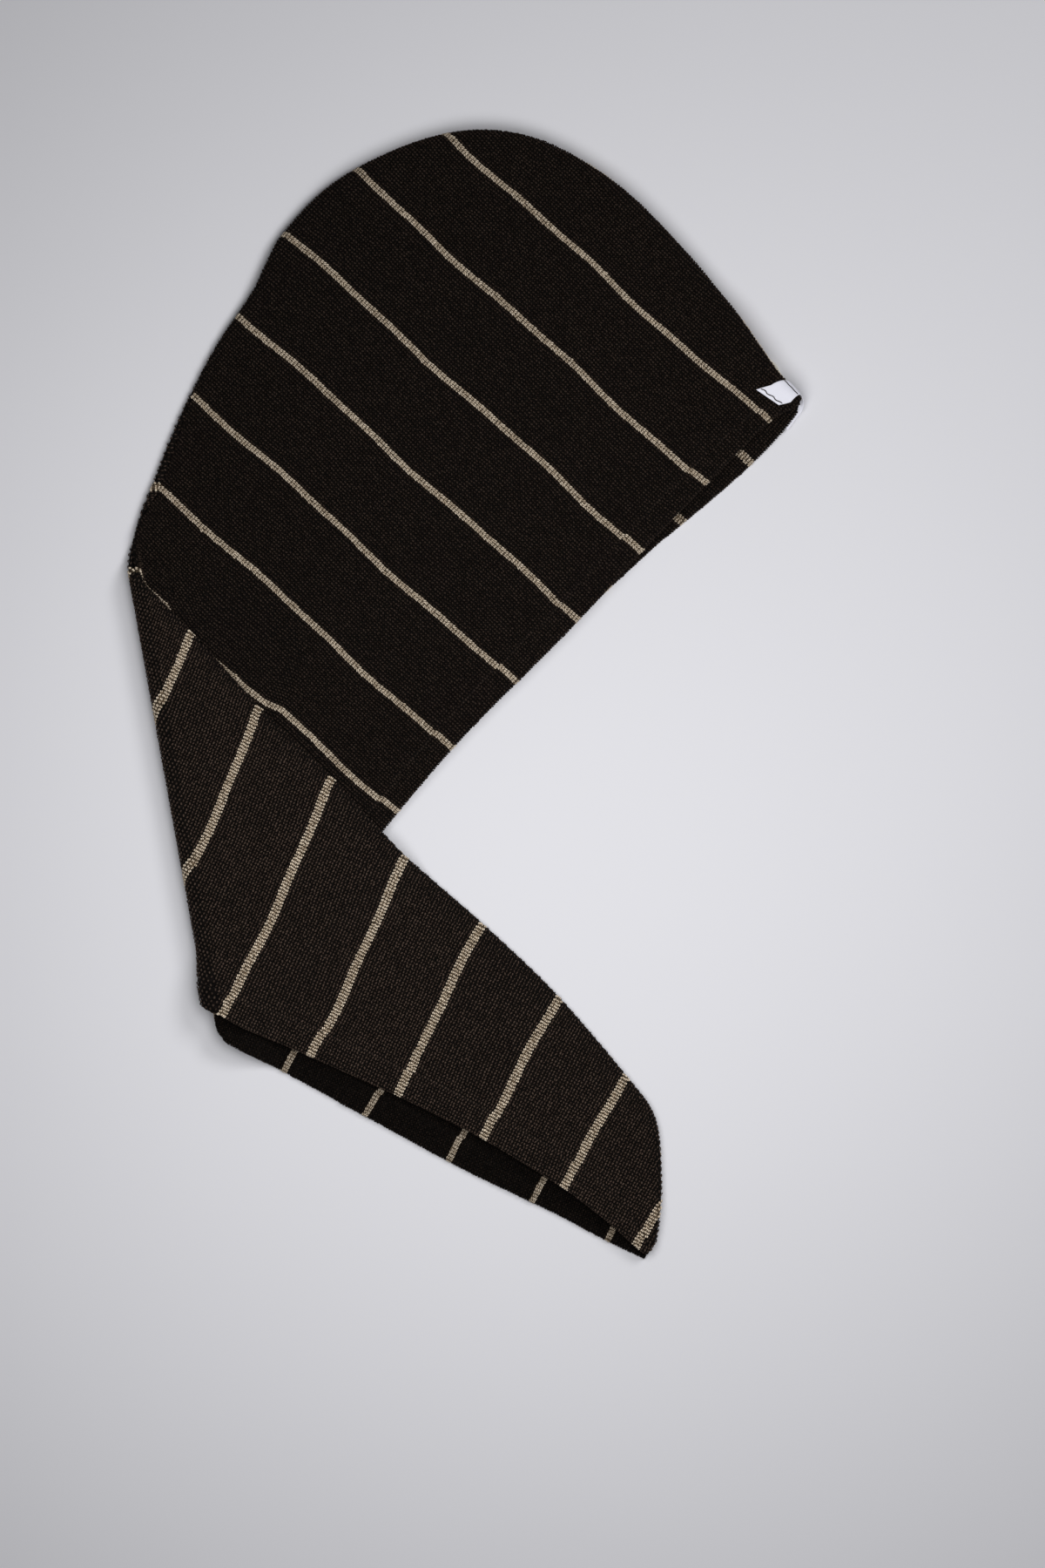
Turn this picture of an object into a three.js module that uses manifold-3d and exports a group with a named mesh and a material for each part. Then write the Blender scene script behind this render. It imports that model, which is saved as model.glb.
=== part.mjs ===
import * as THREE from 'three';
import Module from 'manifold-3d';

// Hair turban towel: two mirror-image terry panels sewn along the crown and the tail,
// laid flat with the tail folded back over the hood.
// Millimetres. +Z is up from the surface it lies on, +Y runs along its longest side.
//
// Each panel is drawn in flat cloth coordinates before it is folded:
// "along" runs down the opening edge from the nape to the tip of the tail,
// "across" runs from the opening line towards the crown seam,
// "height" is counted up from the surface, before the tail is folded over.

// Flat size of the towel
const OPENING_LENGTH = 652;
const PANEL_DEPTH = 247;

// Cloth
const CLOTH = 2.4;
const HEM_WIDTH = 13;
const HEM_FOLD = 0.8;
const SEAM_GAP = 0.5;
const PIECE_GAP = 0.35;

// Room between the two panels
const FLAT_ROOM = 0.9;
const HOOD_ROOM = 9.0;
const HEM_ROOM = 2.6;
const TIP_ROOM = 1.8;
const FOLD_ROOM = 0.7;
const EDGE_ROUNDNESS = 1.25;
const NAPE_ROOM_SHARE = 0.42;

// Distances over which the room between the panels comes in or dies away
const HOOD_REACH = { start: 30, full: 170 };
const NAPE_REACH = { start: 5, full: 60 };
const HEM_REACH = { full: 26, end: 44 };
const TIP_REACH = { full: 36, end: 62 };
const FOLD_REACH = { full: 10, end: 36 };
const ROUND_REACH = { start: 40, full: 120 };

// Fold of the tail over the hood
const FOLD_ANGLE = 52.35;
const FOLD_ALONG = 0.4233;
const FOLD_ACROSS = 0.7814;
const FOLD_RADIUS = 4.2;
const FOLD_INNER = 1.0;
const LAYER_GAP = 0.6;
const FOLD_SETTLE = 24;
const REST_REACH = { start: -22, full: 5 };
const SEAM_ROLL = 7.5;
const ROLL_REACH = { start: -56, full: -22, end: -5 };

// How the towel lies
const LAY_ANGLE = 47.9;
const NAPE_LIFT = 4.2;
const LIFT_REACH = { full: 20, end: 52 };
const HOOD_WAVE = 0.7;
const WAVE_REACH = { start: 40, full: 110 };
const WAVE_HEM = { start: 30, full: 70 };
const WAVE_LENGTH = { along: 23, across: 31, crossAcross: 27, crossAlong: 61 };

// Label: its width at the crown edge and at its top end, how it slants and fans out on top,
// and how far it drifts towards the opening as it turns under the lower panel
const LABEL_EDGE_WIDTH = 8.6;
const LABEL_END_WIDTH = 13;
const LABEL_SLANT = 0.35;
const LABEL_FAN = 0.25;
const LABEL_UNDER_SLANT = 0.2;
const LABEL_DRIFT = 7;
const LABEL_TOP = 12;
const LABEL_UNDER = 14;
const LABEL_THICKNESS = 0.5;
const LABEL_ROW = 0.4;
const LABEL_EASE = 0.35;

// Button, its thread and the loop
const BUTTON_RADIUS = 10.5;
const BUTTON_THICKNESS = 2.6;
const BUTTON_DISH = 0.7;
const BUTTON_DISH_RADIUS = 7.2;
const BUTTON_HOLE_RADIUS = 1.0;
const BUTTON_HOLE_SPACING = 4.2;
const THREAD_RADIUS = 0.45;
const LOOP_LENGTH = 46;
const LOOP_WIDTH = 15;
const LOOP_BAND = 3;
const LOOP_THICKNESS = 1.0;

const FOLD_TURN = THREE.MathUtils.degToRad(FOLD_ANGLE);
const FOLD_LEAN = 1 / Math.tan(FOLD_TURN);

// Crown seam from the nape to the tip of the tail.
// along: share of the opening length, across: share of the panel depth,
// lean: how far the section line from the seam down to the opening slants towards the tip.
const SEAM = [
  { along: -0.008, across: 0.016, lean: 2.00 },
  { along: -0.012, across: 0.097, lean: 1.45 },
  { along: -0.024, across: 0.236, lean: 1.10 },
  { along: -0.033, across: 0.405, lean: 0.88 },
  { along: -0.035, across: 0.579, lean: 0.78 },
  { along: -0.022, across: 0.737, lean: 0.68 },
  { along: 0.005, across: 0.848, lean: 0.62 },
  { along: 0.046, across: 0.927, lean: 0.58 },
  { along: 0.104, across: 0.987, lean: 0.56 },
  { along: 0.158, across: 0.996, lean: 0.58 },
  { along: 0.186, across: 0.980, lean: 0.63 },
  { along: 0.209, across: 0.963, lean: 0.68 },
  { along: 0.255, across: 0.946, lean: 0.72 },
  { along: 0.296, across: 0.919, lean: 0.735 },
  { along: 0.331, across: 0.889, lean: 0.755 },
  { along: 0.366, across: 0.854, lean: 0.765 },
  { along: 0.396, across: 0.823, lean: FOLD_LEAN },
  { along: 0.423, across: 0.783, lean: FOLD_LEAN },
  { along: 0.450, across: 0.757, lean: FOLD_LEAN },
  { along: 0.491, across: 0.720, lean: 0.67 },
  { along: 0.558, across: 0.655, lean: 0.49 },
  { along: 0.632, across: 0.596, lean: 0.23 },
  { along: 0.709, across: 0.524, lean: 0.04 },
  { along: 0.784, across: 0.474, lean: 0.0 },
  { along: 0.856, across: 0.418, lean: 0.0 },
  { along: 0.930, across: 0.339, lean: 0.0 },
  { along: 0.965, across: 0.289, lean: 0.0 },
  { along: 0.991, across: 0.182, lean: 0.0 },
  { along: 1.002, across: 0.115, lean: 0.0 },
  { along: 1.007, across: 0.076, lean: 0.0 },
];

// Row of the seam table at which the tail folds over
const FOLD_ROW = 17;

// Opening edges of the two panels, as shares of the opening length and the panel depth.
const EDGE = [
  { along: -0.010, upper: 0.011, lower: 0.007 },
  { along: 0.018, upper: 0.032, lower: 0.001 },
  { along: 0.051, upper: 0.038, lower: 0.004 },
  { along: 0.095, upper: 0.043, lower: 0.017 },
  { along: 0.143, upper: 0.048, lower: 0.036 },
  { along: 0.230, upper: 0.050, lower: 0.056 },
  { along: 0.363, upper: 0.065, lower: 0.070 },
  { along: 0.521, upper: 0.050, lower: 0.066 },
  { along: 0.614, upper: 0.052, lower: 0.088 },
  { along: 0.653, upper: 0.037, lower: 0.080 },
  { along: 0.711, upper: 0.034, lower: 0.087 },
  { along: 0.786, upper: 0.030, lower: 0.098 },
  { along: 0.859, upper: 0.027, lower: 0.100 },
  { along: 0.931, upper: 0.033, lower: 0.087 },
  { along: 0.970, upper: 0.032, lower: 0.068 },
  { along: 1.002, upper: 0.034, lower: 0.046 },
];

const NAPE_BUTTON = { along: -0.7, across: 25.9 };
const LOOP_PLACE = { along: 0.935 * OPENING_LENGTH, across: 0.16 * PANEL_DEPTH };

// Distances of the mesh columns from the seam and from the opening edge
const SEAM_COLUMNS = [0, 0.7, 1.8, 3.4, 5.6, 8.5, 13];
const MIDDLE_COLUMNS = 5;
const HEM_COLUMNS = [HEM_WIDTH + 17, HEM_WIDTH + 9, HEM_WIDTH + 1.2, HEM_WIDTH - 1.0, 2.2, 0.9, 0];
const COLUMNS_NEED = 50;

const smooth = (value, low, high) => THREE.MathUtils.smoothstep(value, low, high);
const mix = THREE.MathUtils.lerp;
const rise = (value, reach) => smooth(value, reach.start, reach.full);
const fade = (value, reach) => 1 - smooth(value, reach.full, reach.end);

// Smooth curve through the rows of a table, read at a fractional row
function readRow(table, column, row) {
  const last = table.length - 1;
  const at = THREE.MathUtils.clamp(row, 0, last);
  const i = Math.min(Math.floor(at), last - 1);
  const t = at - i;
  const b = table[i][column];
  const c = table[i + 1][column];
  const a = i > 0 ? table[i - 1][column] : 2 * b - c;
  const d = i + 2 <= last ? table[i + 2][column] : 2 * c - b;
  const cubic = 3 * b - a - 3 * c + d;
  const square = 2 * a - 5 * b + 4 * c - d;
  return b + 0.5 * t * (c - a + t * (square + t * cubic));
}

// Distance of a panel's edge from the opening line, at a distance along the opening
function readEdge(column, along) {
  const share = along / OPENING_LENGTH;
  let i = 0;
  while (i < EDGE.length - 2 && share > EDGE[i + 1].along) {
    i += 1;
  }
  const span = EDGE[i + 1].along - EDGE[i].along;
  return readRow(EDGE, column, i + (share - EDGE[i].along) / span) * PANEL_DEPTH;
}

// Distance past the fold line (positive on the tail) and position down it
const foldPast = new THREE.Vector2(Math.sin(FOLD_TURN), Math.cos(FOLD_TURN));
const foldDown = new THREE.Vector2(Math.cos(FOLD_TURN), -Math.sin(FOLD_TURN));
const foldPoint = new THREE.Vector2(FOLD_ALONG * OPENING_LENGTH, FOLD_ACROSS * PANEL_DEPTH);

function toFold(point) {
  const offset = point.clone().sub(foldPoint);
  return { past: offset.dot(foldPast), down: offset.dot(foldDown) };
}

function fromFold(past, down) {
  return foldPoint.clone().addScaledVector(foldPast, past).addScaledVector(foldDown, down);
}

// Free height between the inner faces of the panels
function roomAt(point) {
  const { past } = toFold(point);
  const fromNape = Math.hypot(point.x, point.y);
  const fromLoop = Math.hypot(point.x - LOOP_PLACE.along, point.y - LOOP_PLACE.across);
  const napeShare = mix(NAPE_ROOM_SHARE, 1, rise(fromNape, NAPE_REACH));
  const hood = (HOOD_ROOM - FLAT_ROOM) * rise(-past, HOOD_REACH) * napeShare;
  const hem = HEM_ROOM * fade(point.y, HEM_REACH);
  const tip = TIP_ROOM * fade(fromLoop, TIP_REACH);
  const fold = FOLD_ROOM * fade(Math.abs(past), FOLD_REACH);
  return FLAT_ROOM + hood + hem + tip + fold;
}

// Rise of all layers over the button at the nape
function liftAt(point) {
  const distance = Math.hypot(point.x - NAPE_BUTTON.along, point.y - NAPE_BUTTON.across);
  return NAPE_LIFT * fade(distance, LIFT_REACH);
}

// Soft waves in the top of the hood
function waveAt(point) {
  const { past } = toFold(point);
  const inside = rise(-past, WAVE_REACH) * rise(point.y, WAVE_HEM);
  const long = Math.sin(point.x / WAVE_LENGTH.along + point.y / WAVE_LENGTH.across);
  const cross = Math.cos(point.y / WAVE_LENGTH.crossAcross - point.x / WAVE_LENGTH.crossAlong);
  return HOOD_WAVE * inside * long * cross;
}

function topOfHood(point) {
  return 2 * CLOTH + roomAt(point) + liftAt(point) + waveAt(point);
}

// Height that the folded tail rests at: over the hood, down to the surface past its opening
function restHeight(point) {
  return rise(point.y, REST_REACH) * (topOfHood(point) + LAYER_GAP);
}

// Fold: turns the tail over about a line and lets it down on to the hood.
// Returns a position in the laid-out frame.
function lay(point, height) {
  const { past, down } = toFold(point);
  const start = -0.5 * Math.PI * FOLD_RADIUS;
  const run = past - start;
  const turn = Math.PI * FOLD_RADIUS;
  let spot = point;
  let z = height;
  if (run > 0) {
    const crest = topOfHood(fromFold(0, down));
    const axis = crest + FOLD_INNER;
    if (run < turn) {
      const angle = run / FOLD_RADIUS;
      spot = fromFold(start + (axis - height) * Math.sin(angle), down);
      z = axis - (axis - height) * Math.cos(angle);
    } else {
      spot = fromFold(-past, down);
      const top = topOfHood(point);
      const near = 2 * axis - top;
      const rest = mix(near, restHeight(spot), smooth(run - turn, 0, FOLD_SETTLE));
      z = rest + top - height;
    }
  }
  const lean = THREE.MathUtils.degToRad(LAY_ANGLE);
  const x = -spot.x * Math.cos(lean) - spot.y * Math.sin(lean);
  const y = -spot.x * Math.sin(lean) + spot.y * Math.cos(lean);
  return new THREE.Vector3(x, y, z);
}

// Section line of the shell, from the seam down to the opening line
function sectionAt(row) {
  const seamAlong = readRow(SEAM, 'along', row) * OPENING_LENGTH;
  const seamAcross = readRow(SEAM, 'across', row) * PANEL_DEPTH;
  const seam = new THREE.Vector2(seamAlong, seamAcross);
  const lean = readRow(SEAM, 'lean', row);
  const opening = new THREE.Vector2(seam.x + lean * seam.y, 0);
  const length = opening.distanceTo(seam);
  const deep = CLOTH + roomAt(seam);
  const { past } = toFold(seam);
  const full = rise(-past, ROUND_REACH);
  const edge = Math.min(0.5 * deep * mix(1, EDGE_ROUNDNESS, full), 0.6 * length);
  const quarter = 0.5 * Math.PI * Math.sqrt((edge * edge + 0.25 * deep * deep) / 2);
  const shelf = rise(past, ROLL_REACH) * fade(past, ROLL_REACH);
  return { seam, opening, lean, length, edge, quarter, roll: SEAM_ROLL * shelf };
}

// Middle of the cloth at a distance round the section, counted from its outermost point.
// side is 1 for the upper panel and -1 for the lower; a negative distance is past the edge.
function middleAt(section, side, distance) {
  const reach = Math.abs(distance);
  const face = distance < 0 ? -side : side;
  let inward = section.edge + reach - section.quarter;
  let share = 1;
  if (reach < section.quarter) {
    const angle = 0.5 * Math.PI * reach / section.quarter;
    inward = section.edge * (1 - Math.cos(angle));
    share = Math.sin(angle);
  }
  const point = section.seam.clone().lerp(section.opening, inward / section.length);
  const half = 0.5 * (topOfHood(point) - liftAt(point) - CLOTH);
  const flat = 0.5 * CLOTH + liftAt(point) + half * (1 + face * share);
  return lay(point, flat);
}

function evenRows(first, last, step) {
  const count = Math.round((last - first) / step);
  return Array.from({ length: count + 1 }, (unused, i) => first + i * step);
}

// Row whose section line lies a given distance past the fold line
function rowPastFold(past) {
  let low = FOLD_ROW - 2;
  let high = FOLD_ROW + 2;
  for (let i = 0; i < 40; i += 1) {
    const middle = 0.5 * (low + high);
    if (toFold(sectionAt(middle).seam).past < past) {
      low = middle;
    } else {
      high = middle;
    }
  }
  return low;
}

// Rows of the shell: close together round the fold and where the tail drops off the hood
function sectionRows() {
  const eighth = Math.PI * FOLD_RADIUS / 8;
  const turned = [-6, -4, -3, -2, -1, 0, 1, 2, 3, 4, 6].map((step) => rowPastFold(step * eighth));
  const last = SEAM.length - 1;
  return [
    ...[0, 0.1, 0.4, 0.7, 1],
    ...evenRows(1.5, 9.5, 0.5),
    ...evenRows(10, 12, 1),
    ...evenRows(12.5, FOLD_ROW - 1.5, 0.5),
    ...turned,
    ...evenRows(FOLD_ROW + 1.5, FOLD_ROW + 3, 0.5),
    ...evenRows(FOLD_ROW + 3 + 1 / 3, FOLD_ROW + 6, 1 / 3),
    ...evenRows(FOLD_ROW + 7, FOLD_ROW + 8, 1),
    ...evenRows(FOLD_ROW + 8.5, last - 0.5, 0.5),
    ...[last - 0.1, last],
  ];
}

// Distances round the section of one panel, from the seam to its opening edge
function columnsOf(section, side) {
  const edge = side > 0 ? 'upper' : 'lower';
  let edgeAcross = 0;
  for (let i = 0; i < 4; i += 1) {
    edgeAcross = readEdge(edge, section.opening.x - section.lean * edgeAcross);
  }
  const inward = section.length * (1 - edgeAcross / section.seam.y);
  const end = section.quarter + inward - section.edge;
  const start = side * section.roll + 0.5 * SEAM_GAP;
  const total = end - start;
  const scale = Math.min(1, total / COLUMNS_NEED);
  const columns = SEAM_COLUMNS.map((gap) => ({ at: start + gap * scale, seam: gap, hem: 99 }));
  const first = SEAM_COLUMNS[SEAM_COLUMNS.length - 1] * scale;
  const last = total - HEM_COLUMNS[0] * scale;
  for (let i = 1; i <= MIDDLE_COLUMNS; i += 1) {
    const at = start + mix(first, last, i / (MIDDLE_COLUMNS + 1));
    columns.push({ at, seam: 99, hem: 99 });
  }
  for (const gap of HEM_COLUMNS) {
    columns.push({ at: end - gap * scale, seam: 99, hem: gap });
  }
  return columns;
}

// One terry panel as a closed sheet with a turned hem
function panelGeometry(side) {
  const rows = sectionRows();
  const middles = [];
  const columns = [];
  const beyond = [];
  for (const row of rows) {
    const section = sectionAt(row);
    const list = columnsOf(section, side);
    columns.push(list);
    middles.push(list.map((column) => middleAt(section, side, column.at)));
    beyond.push(middleAt(section, side, 2 * list[0].at - list[1].at));
  }
  const count = rows.length;
  const width = columns[0].length;
  const outer = [];
  const inner = [];
  for (let i = 0; i < count; i += 1) {
    for (let j = 0; j < width; j += 1) {
      const next = middles[Math.min(i + 1, count - 1)][j];
      const before = middles[Math.max(i - 1, 0)][j];
      const out = middles[i][Math.min(j + 1, width - 1)];
      const back = j > 0 ? middles[i][j - 1] : beyond[i];
      const normal = next.clone().sub(before).cross(out.clone().sub(back)).normalize();
      normal.multiplyScalar(side);
      const { seam, hem } = columns[i][j];
      const ending = i === 0 || i === count - 1 ? 0.6 : 1;
      const hemEnd = mix(0.4, 1, smooth(hem, -0.9, 2.2)) * ending;
      const seamOut = mix(0.7, 1, smooth(seam, -0.6, 1.8));
      const seamIn = mix(0.35, 1, smooth(seam, -0.6, 2.4));
      const fold = hem < HEM_WIDTH ? HEM_FOLD : 0;
      const outside = 0.5 * CLOTH * hemEnd * seamOut;
      const inside = (0.5 * CLOTH + fold) * hemEnd * seamIn;
      outer.push(middles[i][j].clone().addScaledVector(normal, outside));
      inner.push(middles[i][j].clone().addScaledVector(normal, -inside));
    }
  }
  return sheetGeometry(outer, inner, width, side);
}

// Closed sheet between an outer and an inner grid of points, joined along their borders
function sheetGeometry(outer, inner, width, side) {
  const positions = outer.concat(inner).flatMap((point) => point.toArray());
  const faces = [];
  const offset = outer.length;
  const count = offset / width;
  const quad = (a, b, c, d) => faces.push(a, b, c, a, c, d);
  for (let i = 0; i < count - 1; i += 1) {
    for (let j = 0; j < width - 1; j += 1) {
      const a = i * width + j;
      quad(a, a + width, a + width + 1, a + 1);
      quad(offset + a, offset + a + 1, offset + a + width + 1, offset + a + width);
    }
    const seam = i * width;
    const hem = seam + width - 1;
    quad(seam, offset + seam, offset + seam + width, seam + width);
    quad(hem, hem + width, offset + hem + width, offset + hem);
  }
  for (let j = 0; j < width - 1; j += 1) {
    const tip = (count - 1) * width + j;
    quad(j, j + 1, offset + j + 1, offset + j);
    quad(tip, offset + tip, offset + tip + 1, tip + 1);
  }
  if (side < 0) {
    faces.reverse();
  }
  const geometry = new THREE.BufferGeometry();
  geometry.setAttribute('position', new THREE.Float32BufferAttribute(positions, 3));
  geometry.setIndex(faces);
  return geometry;
}

// White tape folded slantwise round the crown edge beside the nape, wider at its top end
function labelGeometry() {
  const section = sectionAt(LABEL_ROW);
  const before = sectionAt(LABEL_ROW - 0.15).seam;
  const seamward = sectionAt(LABEL_ROW + 0.15).seam.sub(before).normalize();
  const inward = new THREE.Vector2(seamward.y, -seamward.x);
  const reach = section.edge;
  const clear = 0.5 * CLOTH + 0.5 * LABEL_THICKNESS + PIECE_GAP + LABEL_EASE;
  const heightAt = (spot, face) => {
    const half = 0.5 * (topOfHood(spot) - liftAt(spot) - CLOTH);
    return 0.5 * CLOTH + liftAt(spot) + half * (1 + face) + face * clear;
  };
  const outer = [];
  const inner = [];
  const addLine = (distance, angle) => {
    const turn = Math.cos(angle);
    const deep = Math.max(distance, reach);
    const share = turn > 0 ? (deep - reach) / (LABEL_TOP - reach) : 0;
    const drift = turn > 0 ? LABEL_SLANT * turn * deep : turn * (LABEL_UNDER_SLANT * deep + LABEL_DRIFT);
    const widthwise = seamward.clone().addScaledVector(inward, LABEL_FAN * share);
    const half = 0.5 * mix(LABEL_EDGE_WIDTH, LABEL_END_WIDTH, share);
    for (const side of [-1, 0, 1]) {
      const spot = section.seam.clone().addScaledVector(seamward, drift);
      spot.addScaledVector(widthwise, side * half).addScaledVector(inward, deep);
      const height = mix(heightAt(spot, -1), heightAt(spot, 1), 0.5 + 0.5 * turn);
      const bulge = deep - distance;
      for (const [grid, lift] of [[outer, 0.5], [inner, -0.5]]) {
        const thick = lift * LABEL_THICKNESS;
        const place = spot.clone().addScaledVector(inward, -bulge - thick * Math.sin(angle));
        grid.push(lay(place, height + thick * turn));
      }
    }
  };
  for (let i = 0; i <= 6; i += 1) {
    addLine(mix(LABEL_TOP, reach, i / 6), 0);
  }
  for (let i = 1; i < 12; i += 1) {
    const angle = Math.PI * i / 12;
    addLine(reach - (reach + clear) * Math.sin(angle), angle);
  }
  for (let i = 0; i <= 6; i += 1) {
    addLine(mix(reach, LABEL_UNDER, i / 6), Math.PI);
  }
  return sheetGeometry(outer, inner, 3, 1);
}

const solids = await Module();
solids.setup();
const { Manifold, CrossSection } = solids;

function fromSolid(solid) {
  const mesh = solid.getMesh();
  const geometry = new THREE.BufferGeometry();
  geometry.setAttribute('position', new THREE.Float32BufferAttribute(mesh.vertProperties, 3));
  geometry.setIndex(Array.from(mesh.triVerts));
  return geometry;
}

function holeSpots() {
  const half = 0.5 * BUTTON_HOLE_SPACING;
  return [[half, half], [half, -half], [-half, half], [-half, -half]];
}

// Button: a disc dished on both faces with four holes, face down on the surface
function buttonSolid() {
  const bevel = 0.5;
  const rim = Manifold.cylinder(BUTTON_THICKNESS, BUTTON_RADIUS, BUTTON_RADIUS, 48);
  const ring = Manifold.cylinder(bevel, BUTTON_RADIUS + 1, BUTTON_RADIUS + 1, 48);
  const cone = Manifold.cylinder(bevel, BUTTON_RADIUS, BUTTON_RADIUS - bevel, 48);
  const shoulder = ring.subtract(cone).translate([0, 0, BUTTON_THICKNESS - bevel]);
  const dish = Manifold.cylinder(BUTTON_DISH, BUTTON_DISH_RADIUS + 0.6, BUTTON_DISH_RADIUS, 40);
  let solid = rim.subtract(shoulder).subtract(dish);
  solid = solid.subtract(dish.mirror([0, 0, 1]).translate([0, 0, BUTTON_THICKNESS]));
  for (const [x, y] of holeSpots()) {
    const hole = Manifold.cylinder(BUTTON_THICKNESS, BUTTON_HOLE_RADIUS, BUTTON_HOLE_RADIUS, 14);
    solid = solid.subtract(hole.translate([x, y, 0]));
  }
  return solid;
}

// Thread: four legs through the holes, two stitches in the lower dish and a pad under the panel
function threadSolid() {
  const low = 0.1;
  const padBottom = BUTTON_THICKNESS - BUTTON_DISH + 0.3;
  const padTop = NAPE_LIFT - PIECE_GAP;
  const padRadius = 0.5 * BUTTON_HOLE_SPACING * Math.SQRT2 + THREAD_RADIUS;
  let solid = Manifold.cylinder(padTop - padBottom, padRadius, padRadius, 24).translate([0, 0, padBottom]);
  for (const [x, y] of holeSpots()) {
    const leg = Manifold.cylinder(padBottom + 0.1 - low, THREAD_RADIUS, THREAD_RADIUS, 8);
    solid = solid.add(leg.translate([x, y, low]));
  }
  for (const sign of [-1, 1]) {
    const long = BUTTON_HOLE_SPACING + 2 * THREAD_RADIUS;
    const stitch = Manifold.cube([long, 1.6 * THREAD_RADIUS, 0.4], true);
    solid = solid.add(stitch.translate([0, 0.5 * sign * BUTTON_HOLE_SPACING, low + 0.2]));
  }
  return solid;
}

// Flat elastic loop that closes on the button, lying inside the tip of the tail
function loopSolid() {
  const straight = LOOP_LENGTH - LOOP_WIDTH;
  const round = (radius) => {
    const disc = CrossSection.circle(radius, 32);
    const first = disc.translate([-0.5 * straight, 0]);
    const second = disc.translate([0.5 * straight, 0]);
    return CrossSection.hull([first, second]);
  };
  const ring = round(0.5 * LOOP_WIDTH).subtract(round(0.5 * LOOP_WIDTH - LOOP_BAND));
  return ring.extrude(LOOP_THICKNESS);
}

// Puts a solid made about its own centre at a place of the laid towel
function placeSolid(solid, place, height, turn) {
  const spot = lay(new THREE.Vector2(place.along, place.across), 0);
  return fromSolid(solid.rotate([0, 0, turn]).translate([spot.x, spot.y, height]));
}

const materials = {
  brown: new THREE.MeshStandardMaterial({ color: 0x1a1512, roughness: 0.95 }),
  white: new THREE.MeshStandardMaterial({ color: 0xd9d9e4, roughness: 0.7 }),
  button: new THREE.MeshStandardMaterial({ color: 0xddd8cc, roughness: 0.35 }),
  thread: new THREE.MeshStandardMaterial({ color: 0xe6e2d6, roughness: 0.8 }),
  elastic: new THREE.MeshStandardMaterial({ color: 0x241c18, roughness: 0.8 }),
};

const towel = new THREE.Group();
towel.name = 'hair_turban_towel';

function addPiece(name, geometry, material) {
  geometry.computeVertexNormals();
  const mesh = new THREE.Mesh(geometry, material);
  mesh.name = name;
  towel.add(mesh);
}

addPiece('upper_panel', panelGeometry(1), materials.brown);
addPiece('lower_panel', panelGeometry(-1), materials.brown);
addPiece('label', labelGeometry(), materials.white);
addPiece('button', placeSolid(buttonSolid(), NAPE_BUTTON, 0, 20), materials.button);
addPiece('button_thread', placeSolid(threadSolid(), NAPE_BUTTON, 0, 20), materials.thread);

const loopSpot = new THREE.Vector2(LOOP_PLACE.along, LOOP_PLACE.across);
const loopHeight = CLOTH + 0.5 * (roomAt(loopSpot) - LOOP_THICKNESS);
const foldedTurn = 180 + LAY_ANGLE + 180 - 2 * FOLD_ANGLE;
addPiece('button_loop', placeSolid(loopSolid(), LOOP_PLACE, loopHeight, foldedTurn), materials.elastic);

// Stand the towel on the surface, centred on the origin
const box = new THREE.Box3().setFromObject(towel);
const middle = box.getCenter(new THREE.Vector3());
for (const mesh of towel.children) {
  mesh.geometry.translate(-middle.x, -middle.y, -box.min.z);
}

export default towel;
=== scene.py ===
"""Hair turban towel: two terry panels sewn along the crown, lying flat with the tail folded over."""

import math

import bpy
import numpy as np
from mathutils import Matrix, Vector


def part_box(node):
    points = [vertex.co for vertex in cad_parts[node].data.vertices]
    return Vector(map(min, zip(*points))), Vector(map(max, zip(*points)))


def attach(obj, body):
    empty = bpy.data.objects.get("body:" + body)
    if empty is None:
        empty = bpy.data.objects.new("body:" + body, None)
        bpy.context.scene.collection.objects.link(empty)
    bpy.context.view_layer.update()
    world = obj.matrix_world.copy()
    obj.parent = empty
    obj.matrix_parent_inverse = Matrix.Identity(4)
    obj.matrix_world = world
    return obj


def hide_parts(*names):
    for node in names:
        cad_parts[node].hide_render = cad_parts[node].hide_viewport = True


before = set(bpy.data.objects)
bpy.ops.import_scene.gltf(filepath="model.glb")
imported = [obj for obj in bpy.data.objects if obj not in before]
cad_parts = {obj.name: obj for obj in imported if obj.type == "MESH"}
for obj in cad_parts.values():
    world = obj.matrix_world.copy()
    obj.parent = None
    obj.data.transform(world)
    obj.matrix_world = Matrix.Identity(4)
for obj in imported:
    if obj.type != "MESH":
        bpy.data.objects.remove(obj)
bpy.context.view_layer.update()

MM = 0.001
SEED = 11

# Flat size of the towel and its cloth, in millimetres as in the CAD source
OPENING_LENGTH = 652
PANEL_DEPTH = 247
CLOTH = 2.4
HEM_WIDTH = 13
HEM_FOLD = 0.8
SEAM_GAP = 0.5
PIECE_GAP = 0.35

# Room between the two panels
FLAT_ROOM = 0.9
HOOD_ROOM = 9.0
HEM_ROOM = 2.6
TIP_ROOM = 1.8
FOLD_ROOM = 0.7
EDGE_ROUNDNESS = 1.25
NAPE_ROOM_SHARE = 0.42
HOOD_REACH = (30, 170)
NAPE_REACH = (5, 60)
HEM_REACH = (26, 44)
TIP_REACH = (36, 62)
FOLD_REACH = (10, 36)
ROUND_REACH = (40, 120)

# Fold of the tail over the hood
FOLD_TURN = math.radians(52.35)
FOLD_ALONG = 0.4233
FOLD_ACROSS = 0.7814
FOLD_RADIUS = 4.2
FOLD_INNER = 1.0
LAYER_GAP = 0.6
FOLD_SETTLE = 24
REST_REACH = (-22, 5)
SEAM_ROLL = 7.5
ROLL_RISE = (-56, -22)
ROLL_FADE = (-22, -5)
FOLD_LEAN = 1 / math.tan(FOLD_TURN)

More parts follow.
